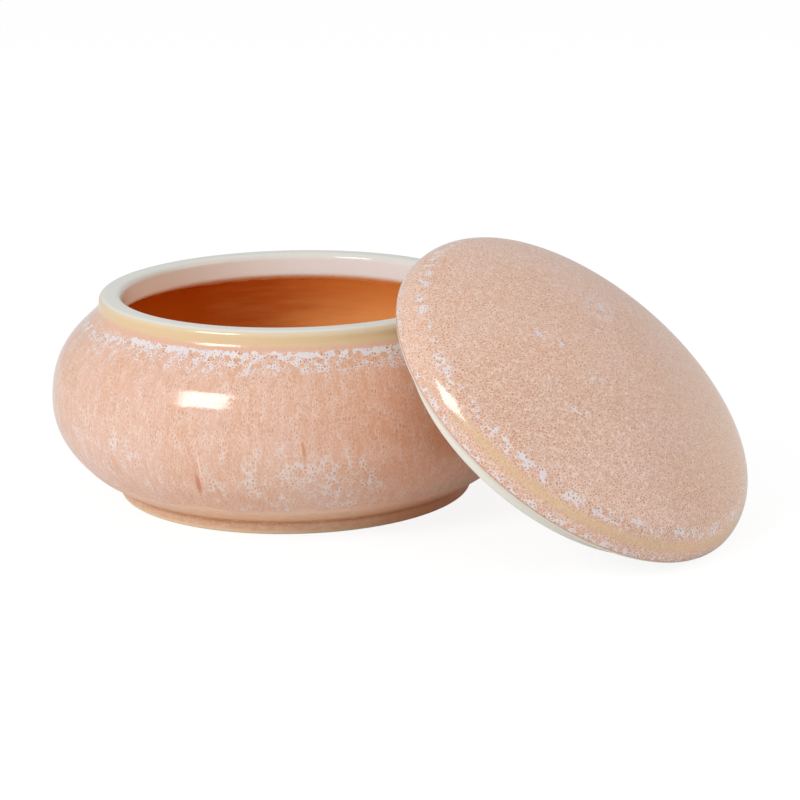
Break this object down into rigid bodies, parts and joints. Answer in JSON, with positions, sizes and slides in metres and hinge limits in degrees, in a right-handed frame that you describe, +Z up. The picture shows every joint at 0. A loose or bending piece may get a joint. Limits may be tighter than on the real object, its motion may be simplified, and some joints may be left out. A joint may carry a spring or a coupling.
{
  "type": "lidded storage pot",
  "caption": "Squat round stoneware pot with a short neck and a foot ring, and a domed lid with a locating flange, off and leaning on the rim.",
  "frame": {"origin": "centre of the pot's foot ring, on the surface that it stands on", "axes": "+Z up along the pot's axis; +X to the right and +Y away as the picture shows it, so the lid leans on the pot towards +X and a little towards -Y"},
  "size_m": [0.2251, 0.1986, 0.0888],
  "materials": {
    "pot_glaze": "satin",
    "lid_glaze": "satin"
  },
  "bodies": {
    "pot": {"pot": "pot_glaze"},
    "lid": {"lid": "lid_glaze"}
  },
  "joints": [
    {"name": "lid_lift", "type": "slide", "parent": "pot", "child": "lid", "axis": [0, 0, 1], "range_m": [0, 0.12]}
  ]
}
